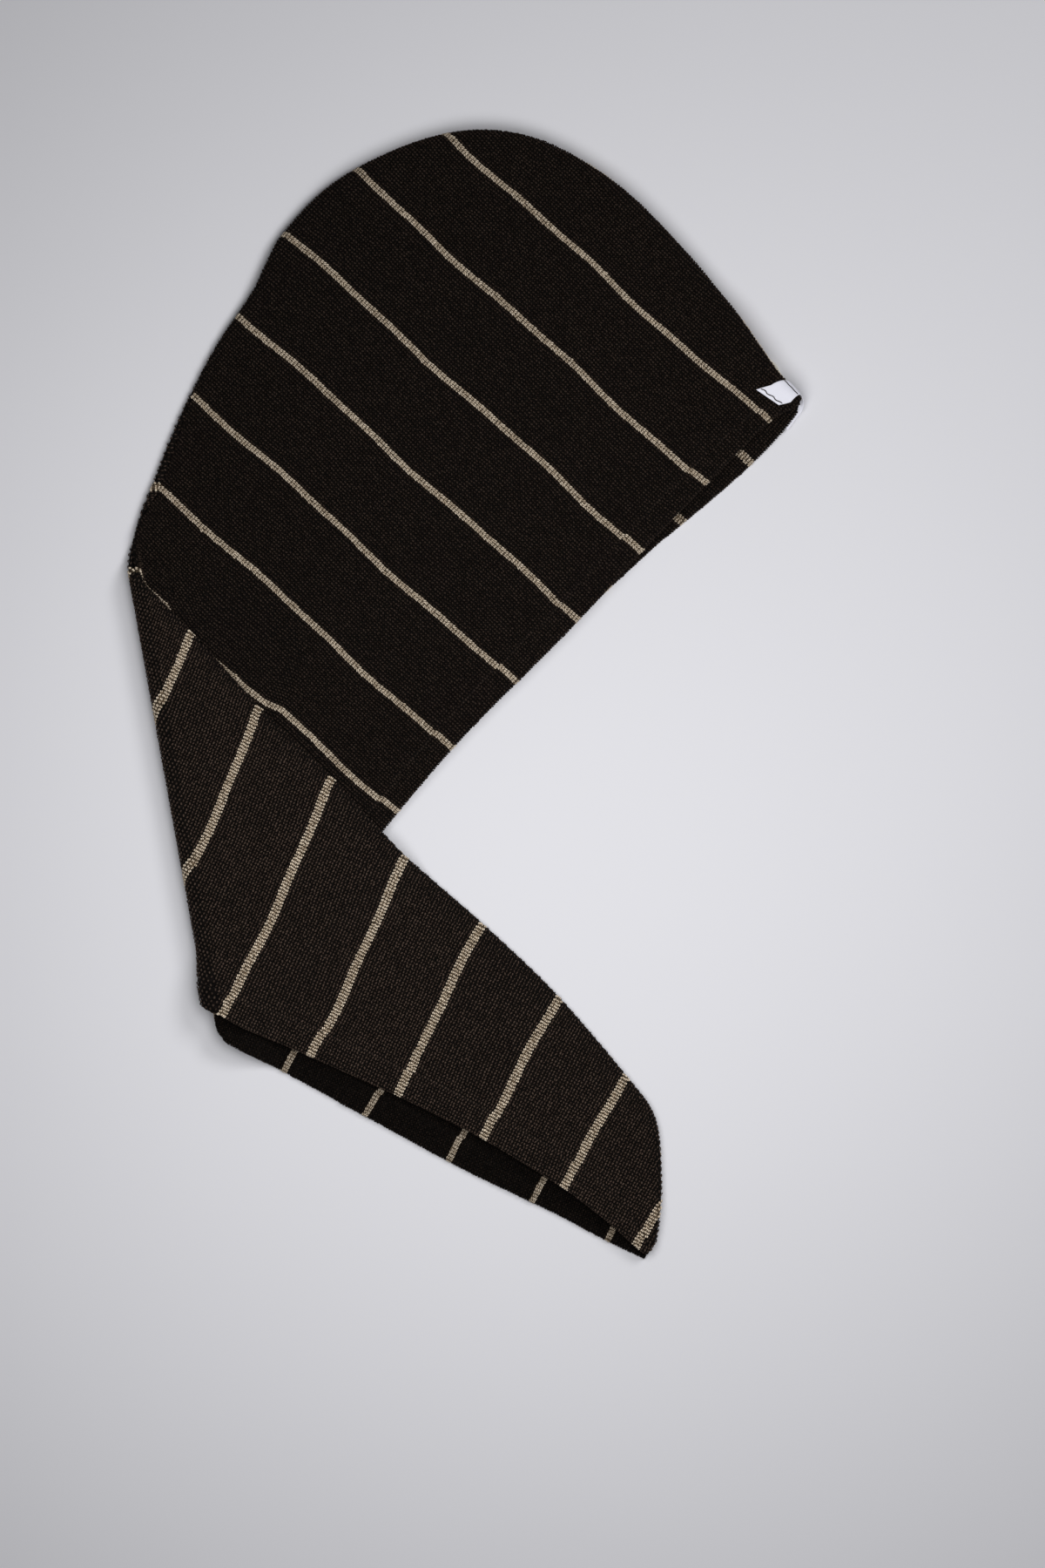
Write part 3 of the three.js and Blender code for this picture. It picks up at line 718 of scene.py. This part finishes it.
def rim_sites(grid, side):
    """Loops along the folded edge of the hem."""
    outer, inner = grid["outer"][:, -1], grid["inner"][:, -1]
    edge = 0.5 * (outer + inner)
    back = 0.5 * (grid["outer"][:, -2] + grid["inner"][:, -2])
    run = np.concatenate([[0], np.cumsum(np.linalg.norm(np.diff(edge, axis=0), axis=1))])
    at = np.arange(0.5 * LOOP_PITCH, run[-1], 0.85 * LOOP_PITCH)

    def read(values):
        return np.stack([np.interp(at, run, column) for column in values.T], axis=1)

    point = read(edge)
    outward = unit(point - read(back))
    count = len(at)
    return {
        "point": point - 0.25 * outward,
        "outward": outward,
        "grain": unit(read(outer - inner)),
        "pattern": read(grid["pattern"][:, -1]),
        "hem": np.zeros(count),
        "seam": np.full(count, 99.0),
        "column": np.round(loop_column(grid, read(grid["stripe"][:, -1:])[:, 0])) % grid["columns"],
        "cream_columns": np.full(count, grid["cream_columns"]),
        "light": np.full(count, grid["light"]),
    }


def tube(points, radius, sides=6):
    """Points and quads of a closed tube along a line, with pointed ends."""
    points = np.asarray(points, float)
    forward = unit(np.gradient(points, axis=0))
    up = unit(np.cross(forward, [0.31, 0.22, 0.92]))
    beside = np.cross(forward, up)
    angle = np.arange(sides) * 2 * math.pi / sides
    size = np.full(len(points), radius)
    size[[0, -1]] = 0.25 * radius
    ring = np.cos(angle)[None, :, None] * up[:, None] + np.sin(angle)[None, :, None] * beside[:, None]
    body = (points[:, None] + size[:, None, None] * ring).reshape(-1, 3)
    near = np.arange(sides)
    far = (near + 1) % sides
    band = np.stack([near, far, far + sides, near + sides], axis=1)
    quads = [band + i * sides for i in range(len(points) - 1)]
    half = sides // 2
    fan = np.array([[i, i + 1, sides - 2 - i, sides - 1 - i] for i in range(half - 1)])
    cap = fan[:, ::-1]
    return body, np.concatenate([*quads, cap, fan + (len(points) - 1) * sides])


def join_arrays(parts):
    points, faces, offset = [], [], 0
    for part_points, part_faces in parts:
        points.append(part_points)
        faces.append(part_faces + offset)
        offset += len(part_points)
    return np.concatenate(points), np.concatenate(faces)


def hem_stitches(grid):
    """Sewing thread along the hem, one short arch for each stitch."""
    column = len(SEAM_COLUMNS) + MIDDLE_COLUMNS + HEM_COLUMNS.index(HEM_WIDTH)
    line = grid["outer"][:, column]
    outward = grid["outward"][:, column]
    run = np.concatenate([[0], np.cumsum(np.linalg.norm(np.diff(line, axis=0), axis=1))])
    parts = []
    for start in np.arange(2, run[-1] - STITCH_STEP, STITCH_STEP):
        at = start + np.linspace(0, STITCH_SHARE * STITCH_STEP, 5)
        points = np.stack([np.interp(at, run, values) for values in line.T], axis=1)
        away = unit(np.stack([np.interp(at, run, values) for values in outward.T], axis=1))
        rise = np.array([-0.15, 0.2, 0.3, 0.2, -0.15])
        parts.append(tube(points + away * rise[:, None], STITCH_RADIUS))
    return join_arrays(parts)


# Materials


def new_material(name):
    material = bpy.data.materials.new(name)
    material.use_nodes = True
    tree = material.node_tree
    shader = tree.nodes["Principled BSDF"]
    return material, tree, shader


def node(tree, kind, inputs=(), **settings):
    """Adds a node, sets its properties, and gives each input a value or links it to a socket."""
    made = tree.nodes.new(kind)
    for key, value in settings.items():
        setattr(made, key, value)
    for key, value in dict(inputs).items():
        if isinstance(value, bpy.types.NodeSocket):
            tree.links.new(value, made.inputs[key])
        else:
            made.inputs[key].default_value = value
    return made


def attribute(tree, name):
    return node(tree, "ShaderNodeAttribute", attribute_name=name).outputs["Fac"]


def math_node(tree, operation, first, second=0.0, third=0.0):
    inputs = {0: first, 1: second, 2: third}
    return node(tree, "ShaderNodeMath", inputs, operation=operation).outputs[0]


def blend_colour(tree, share, first, second):
    """Colour between two, each a plain colour or a socket."""
    inputs = {"Factor": share, 6: first, 7: second}
    return node(tree, "ShaderNodeMix", inputs, data_type="RGBA").outputs[2]


def set_shader(shader, **values):
    for key, value in values.items():
        shader.inputs[key.replace("_", " ")].default_value = value


BROWN_DARK = (0.0125, 0.0086, 0.0066, 1)
BROWN_LIGHT = (0.038, 0.0265, 0.0205, 1)
CREAM_DARK = (0.50, 0.40, 0.29, 1)
CREAM_LIGHT = (0.84, 0.72, 0.57, 1)
# Ground colours drawn far darker than the loops' own, as painted shade for the gaps between the loops
SHADED_GROUND_BROWN = (0.0040, 0.0028, 0.0022, 1)
SHADED_GROUND_CREAM = (0.10, 0.072, 0.045, 1)
BROWN_THREAD = (0.008, 0.006, 0.005, 1), (0.02, 0.015, 0.012, 1)
CREAM_THREAD = (0.62, 0.60, 0.54, 1), (0.86, 0.84, 0.78, 1)
ELASTIC = (0.02, 0.015, 0.012, 1), (0.05, 0.04, 0.033, 1)
TAPE_WHITE = (0.70, 0.70, 0.78, 1), (0.84, 0.84, 0.92, 1)
BUTTON_WHITE = (0.66, 0.64, 0.56, 1), (0.86, 0.85, 0.80, 1)
FLOOR_GREY = (0.682, 0.681, 0.716, 1), (0.702, 0.701, 0.736, 1)


def pile_material():
    material, tree, shader = new_material("terry_pile")
    tone = attribute(tree, "tone")
    brown = blend_colour(tree, tone, BROWN_DARK, BROWN_LIGHT)
    cream = blend_colour(tree, tone, CREAM_DARK, CREAM_LIGHT)
    colour = blend_colour(tree, attribute(tree, "cream"), brown, cream)
    # Painted shade: each loop is drawn darker towards its root, down to 0.35 at its foot
    painted_root_shade = math_node(tree, "MULTIPLY_ADD", attribute(tree, "height"), 0.65, 0.35)
    bright = math_node(tree, "MULTIPLY", painted_root_shade, attribute(tree, "light"))
    shaded = node(tree, "ShaderNodeHueSaturation", {"Color": colour, "Value": bright})
    tree.links.new(shaded.outputs[0], shader.inputs["Base Color"])
    place = node(tree, "ShaderNodeTexCoord").outputs["Object"]
    yarn = node(tree, "ShaderNodeTexNoise", {"Vector": place, "Scale": 3200.0, "Detail": 2.0})
    bump = node(tree, "ShaderNodeBump", {"Height": yarn.outputs["Fac"], "Strength": 0.5, "Distance": 0.0001})
    tree.links.new(bump.outputs[0], shader.inputs["Normal"])
    set_shader(shader, Roughness=0.95, Specular_IOR_Level=0.05)
    return material


def ground_material():
    material, tree, shader = new_material("terry_ground")
    count = attribute(tree, "stripe")
    nearest = math_node(tree, "ROUND", count)
    away = math_node(tree, "ABSOLUTE", math_node(tree, "SUBTRACT", count, nearest))
    distance = math_node(tree, "MULTIPLY", away, float(STRIPE_SPACING))
    on_stripe = math_node(tree, "LESS_THAN", distance, 0.5 * GROUND_STRIPE_WIDTH)
    colour = blend_colour(tree, on_stripe, SHADED_GROUND_BROWN, SHADED_GROUND_CREAM)
    cloth_place = node(tree, "ShaderNodeCombineXYZ", {
        "X": attribute(tree, "along"), "Y": attribute(tree, "across"),
    }).outputs[0]
    knots = node(tree, "ShaderNodeTexVoronoi", {"Vector": cloth_place, "Scale": 1 / LOOP_PITCH})
    # Loop bumps on the ground, also painted into its colour: lighter over each loop as painted highlight,
    # darker between loops as painted shade
    loop_bumps_and_painted_shade = node(tree, "ShaderNodeMapRange", {
        "Value": knots.outputs["Distance"], "From Min": 0.1, "From Max": 0.7, "To Min": 1.5, "To Max": 0.45,
    })
    shaded = node(tree, "ShaderNodeHueSaturation", {"Color": colour, "Value": loop_bumps_and_painted_shade.outputs[0]})
    tree.links.new(shaded.outputs[0], shader.inputs["Base Color"])
    bump = node(tree, "ShaderNodeBump", {
        "Height": loop_bumps_and_painted_shade.outputs[0], "Strength": 0.8, "Distance": 0.0004,
    })
    tree.links.new(bump.outputs[0], shader.inputs["Normal"])
    set_shader(shader, Roughness=0.95, Specular_IOR_Level=0.1)
    return material


def thread_material(name, colour, light):
    """Twisted sewing thread, with the twist from a fine wave."""
    material, tree, shader = new_material(name)
    place = node(tree, "ShaderNodeTexCoord").outputs["Object"]
    twist = node(tree, "ShaderNodeTexWave", {"Vector": place, "Scale": 900.0, "Distortion": 1.5})
    mixed = blend_colour(tree, twist.outputs["Fac"], colour, light)
    tree.links.new(mixed, shader.inputs["Base Color"])
    bump = node(tree, "ShaderNodeBump", {"Height": twist.outputs["Fac"], "Strength": 0.5, "Distance": 0.0001})
    tree.links.new(bump.outputs[0], shader.inputs["Normal"])
    set_shader(shader, Roughness=0.85, Specular_IOR_Level=0.1)
    return material


def tape_material():
    """White woven tape: fine ribs across it and a closer weave along it."""
    material, tree, shader = new_material("woven_tape")
    across = attribute(tree, "tape_across")
    along = attribute(tree, "tape_along")
    ribs = math_node(tree, "SINE", math_node(tree, "MULTIPLY", along, 2 * math.pi / 0.32))
    threads = math_node(tree, "SINE", math_node(tree, "MULTIPLY", across, 2 * math.pi / 0.24))
    weave = math_node(tree, "MULTIPLY_ADD", math_node(tree, "MULTIPLY", ribs, threads), 0.5, 0.5)
    colour = blend_colour(tree, weave, *TAPE_WHITE)
    tree.links.new(colour, shader.inputs["Base Color"])
    bump = node(tree, "ShaderNodeBump", {"Height": weave, "Strength": 0.35, "Distance": 0.00008})
    tree.links.new(bump.outputs[0], shader.inputs["Normal"])
    set_shader(shader, Roughness=0.6, Specular_IOR_Level=0.3, Sheen_Weight=0.1)
    return material


def button_material():
    """Off-white pearly plastic with faint clouds."""
    material, tree, shader = new_material("button_plastic")
    place = node(tree, "ShaderNodeTexCoord").outputs["Object"]
    cloud = node(tree, "ShaderNodeTexNoise", {
        "Vector": place, "Scale": 140.0, "Detail": 3.0, "Distortion": 1.2,
    })
    colour = blend_colour(tree, cloud.outputs["Fac"], *BUTTON_WHITE)
    tree.links.new(colour, shader.inputs["Base Color"])
    rough = node(tree, "ShaderNodeMapRange", {"Value": cloud.outputs["Fac"], "To Min": 0.22, "To Max": 0.38})
    tree.links.new(rough.outputs[0], shader.inputs["Roughness"])
    set_shader(shader, Subsurface_Weight=0.15, Coat_Weight=0.2, Coat_Roughness=0.15)
    shader.inputs["Subsurface Radius"].default_value = (0.002, 0.0018, 0.0014)
    return material


def floor_material():
    material, tree, shader = new_material("pale_floor")
    place = node(tree, "ShaderNodeTexCoord").outputs["Object"]
    mottle = node(tree, "ShaderNodeTexNoise", {"Vector": place, "Scale": 3.0, "Detail": 2.0})
    colour = blend_colour(tree, mottle.outputs["Fac"], *FLOOR_GREY)
    tree.links.new(colour, shader.inputs["Base Color"])
    set_shader(shader, Roughness=0.85, Specular_IOR_Level=0.2)
    return material


# Label


def label_arrays():
    """Layers of the tape, folded slantwise round the crown edge, with thin edges."""
    rows = section_at(np.array([LABEL_ROW, LABEL_ROW + 0.15, LABEL_ROW - 0.15]))
    seam, after, before = rows["seam"]
    seamward = unit(after - before)
    inward = np.array([seamward[1], -seamward[0]])
    reach = float(rows["edge"][0])
    clear = 0.5 * CLOTH + 0.5 * LABEL_THICKNESS + PIECE_GAP + LABEL_EASE - LABEL_SINK
    bend = np.linspace(0, math.pi, LABEL_STEPS)
    distance = np.concatenate([
        np.linspace(LABEL_TOP, reach, LABEL_STEPS),
        (reach - (reach + clear) * np.sin(bend))[1:-1],
        np.linspace(reach, LABEL_UNDER, LABEL_STEPS),
    ])
    angle = np.concatenate([np.zeros(LABEL_STEPS), bend[1:-1], np.full(LABEL_STEPS, math.pi)])
    turn = np.cos(angle)[:, None]
    deep = np.maximum(distance, reach)[:, None]
    share = np.where(turn > 0, (distance[:, None] + clear) / (LABEL_TOP + clear), 0)
    half = 0.5 * mix(LABEL_EDGE_WIDTH, LABEL_END_WIDTH, share) + LABEL_BOW * np.sin(math.pi * share)
    across = LABEL_LINES * half
    drift = turn * np.where(turn > 0, LABEL_SLANT * deep, LABEL_UNDER_SLANT * deep + LABEL_DRIFT)
    spot = seam + (drift + across)[..., None] * seamward
    spot = spot + (deep + LABEL_FAN * share * across)[..., None] * inward

    def height_at(face):
        thick = 0.5 * (top_of_hood(spot) - lift_at(spot) - CLOTH)
        return 0.5 * CLOTH + lift_at(spot) + thick * (1 + face) + face * clear

    height = mix(height_at(-1), height_at(1), 0.5 + 0.5 * turn)
    bulge = deep - distance[:, None]
    run = np.concatenate([[0], np.cumsum(np.hypot(np.diff(distance), np.diff(height[:, 4])))])
    curl = LABEL_CURL * LABEL_LINES ** 2 * (1 + 0.6 * np.sin(run / 2.7))[:, None]

    def layer(lift):
        """Points at a height over the middle of the tape."""
        thick = lift - curl
        place = spot - (bulge + thick * np.sin(angle)[:, None])[..., None] * inward
        return lay(place, height + thick * turn)

    return layer, across, run


def add_tape(materials):
    layer, across, run = label_arrays()
    half = 0.5 * LABEL_THICKNESS * LABEL_EDGES
    points = np.concatenate([layer(half).reshape(-1, 3), layer(-half).reshape(-1, 3)])
    attributes = {
        "tape_across": np.tile(across.ravel(), 2),
        "tape_along": np.tile(np.repeat(run, len(LABEL_LINES)), 2),
    }
    faces = closed_sheet(len(run), len(LABEL_LINES), 1)
    tape = add_mesh("label_tape", points + SHIFT, faces, materials["tape"], attributes)
    finish_piece(tape)
    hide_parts("label")


def add_tape_stitches(materials):
    """Brown stitching across the tape: near its top end, before the crown edge and underneath."""
    layer, _, run = label_arrays()
    surface = layer(0.5 * LABEL_THICKNESS + 0.1)
    lines = np.arange(len(LABEL_LINES))
    parts = []
    for at, wave in ((LABEL_STITCHES[0], 0.35), (LABEL_STITCHES[1], 0.1), (run[-1] - LABEL_STITCHES[0], 0.3)):
        share = np.linspace(0.03, 0.97, 31)
        place = at + wave * np.sin(share * 17)
        column = np.interp(2 * share - 1, LABEL_LINES, lines)
        near = np.floor(column).astype(int)
        part = (column - near)[:, None]
        rows = np.interp(place, run, np.arange(len(run)))
        low = np.floor(rows).astype(int)
        rest = (rows - low)[:, None]
        first = mix(surface[low, near], surface[low, near + 1], part)
        second = mix(surface[low + 1, near], surface[low + 1, near + 1], part)
        parts.append(tube(mix(first, second, rest), LABEL_STITCH_RADIUS))
    points, faces = join_arrays(parts)
    stitches = add_mesh("label_stitches", points + SHIFT, faces, materials["brown_thread"])
    finish_piece(stitches)


# Making of the towel


def add_panel(side, materials):
    """One panel: its ground cloth, the pile on it and the hem's stitches."""
    title = "upper" if side > 0 else "lower"
    draw = np.random.default_rng(SEED + (0 if side > 0 else 1))
    grid = panel_grid(side)
    cloth = ground_cloth(f"{title}_cloth", grid, side, materials["ground"])
    finish_piece(cloth)
    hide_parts(f"{title}_panel")

    everywhere = np.ones(grid["hem"].shape, bool)
    outside = sites_on(grid["outer"], grid, everywhere)
    seen = outside["outward"][:, 2] > SEEN_SLOPE
    along = grid["pattern"][..., 0]
    shows = (along > UPPER_INSIDE_FROM) if side > 0 else (along < LOWER_INSIDE_TO)
    strip = sites_on(grid["inner"], grid, shows & (grid["hem"] < INSIDE_STRIP))
    strip["outward"] = -strip["outward"]
    # Painted shade on the pile inside the hem
    strip["light"] *= INNER_PAINTED_SHADE
    rim = rim_sites(grid, side)
    fine = join_sites(pick(outside, seen), strip, rim)
    pile = add_pile(f"{title}_pile", fine, RIDGE_POINTS, RIDGE_FACES, draw, materials["pile"])
    under = pick(outside, ~seen)
    pile += add_pile(f"{title}_pile_under", under, GRAIN_POINTS, GRAIN_FACES, draw, materials["pile"])
    points, faces = hem_stitches(grid)
    stitches = add_mesh(f"{title}_hem_stitches", points + SHIFT, faces, materials["brown_thread"])
    finish_piece(stitches)


def dress_cad_nodes(materials):
    """New finishes for the CAD solids that keep their shape."""
    for name, key in (("button", "button"), ("button_thread", "cream_thread"), ("button_loop", "elastic")):
        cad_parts[name].data.materials.clear()
        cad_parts[name].data.materials.append(materials[key])
    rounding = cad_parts["button"].modifiers.new("rounding", "BEVEL")
    rounding.width = 0.25 * MM
    rounding.segments = 2


# Camera, floor and light


def add_camera():
    data = bpy.data.cameras.new("camera")
    camera = bpy.data.objects.new("camera", data)
    bpy.context.scene.collection.objects.link(camera)
    data.sensor_fit = "VERTICAL"
    data.sensor_height = SENSOR
    data.lens = SENSOR * CAMERA_DISTANCE / FRAME_HEIGHT
    camera.location = (
        FRAME_CENTRE[0] * MM, FRAME_CENTRE[1] * MM, (CLOTH_LEVEL + CAMERA_DISTANCE) * MM,
    )
    bpy.context.scene.camera = camera


def add_floor():
    half = FLOOR_HALF
    points = np.array([(-half, -half, 0), (half, -half, 0), (half, half, 0), (-half, half, 0)]) / MM
    floor = add_mesh("floor", points, np.array([[0, 1, 2, 3]]), floor_material())


def add_area_light(name, place, size, energy, target):
    data = bpy.data.lights.new(name, "AREA")
    data.shape = "DISK"
    data.size = size
    data.energy = energy
    light = bpy.data.objects.new(name, data)
    bpy.context.scene.collection.objects.link(light)
    light.location = place
    aim = Vector(target) - light.location
    light.rotation_euler = aim.to_track_quat("-Z", "Y").to_euler()


def add_light():
    world = bpy.data.worlds.new("studio")
    bpy.context.scene.world = world
    world.use_nodes = True
    background = world.node_tree.nodes["Background"]
    background.inputs["Color"].default_value = (1, 1, 1, 1)
    background.inputs["Strength"].default_value = WORLD_STRENGTH
    add_area_light("window", **WINDOW)
    add_area_light("overhead", **OVERHEAD)
    bpy.context.scene.view_settings.view_transform = "Standard"


materials = {
    "pile": pile_material(),
    "ground": ground_material(),
    "brown_thread": thread_material("brown_thread", *BROWN_THREAD),
    "cream_thread": thread_material("cream_thread", *CREAM_THREAD),
    "elastic": thread_material("elastic_cord", *ELASTIC),
    "tape": tape_material(),
    "button": button_material(),
}
add_camera()
add_floor()
add_light()
add_panel(1, materials)
add_panel(-1, materials)
add_tape(materials)
add_tape_stitches(materials)
dress_cad_nodes(materials)
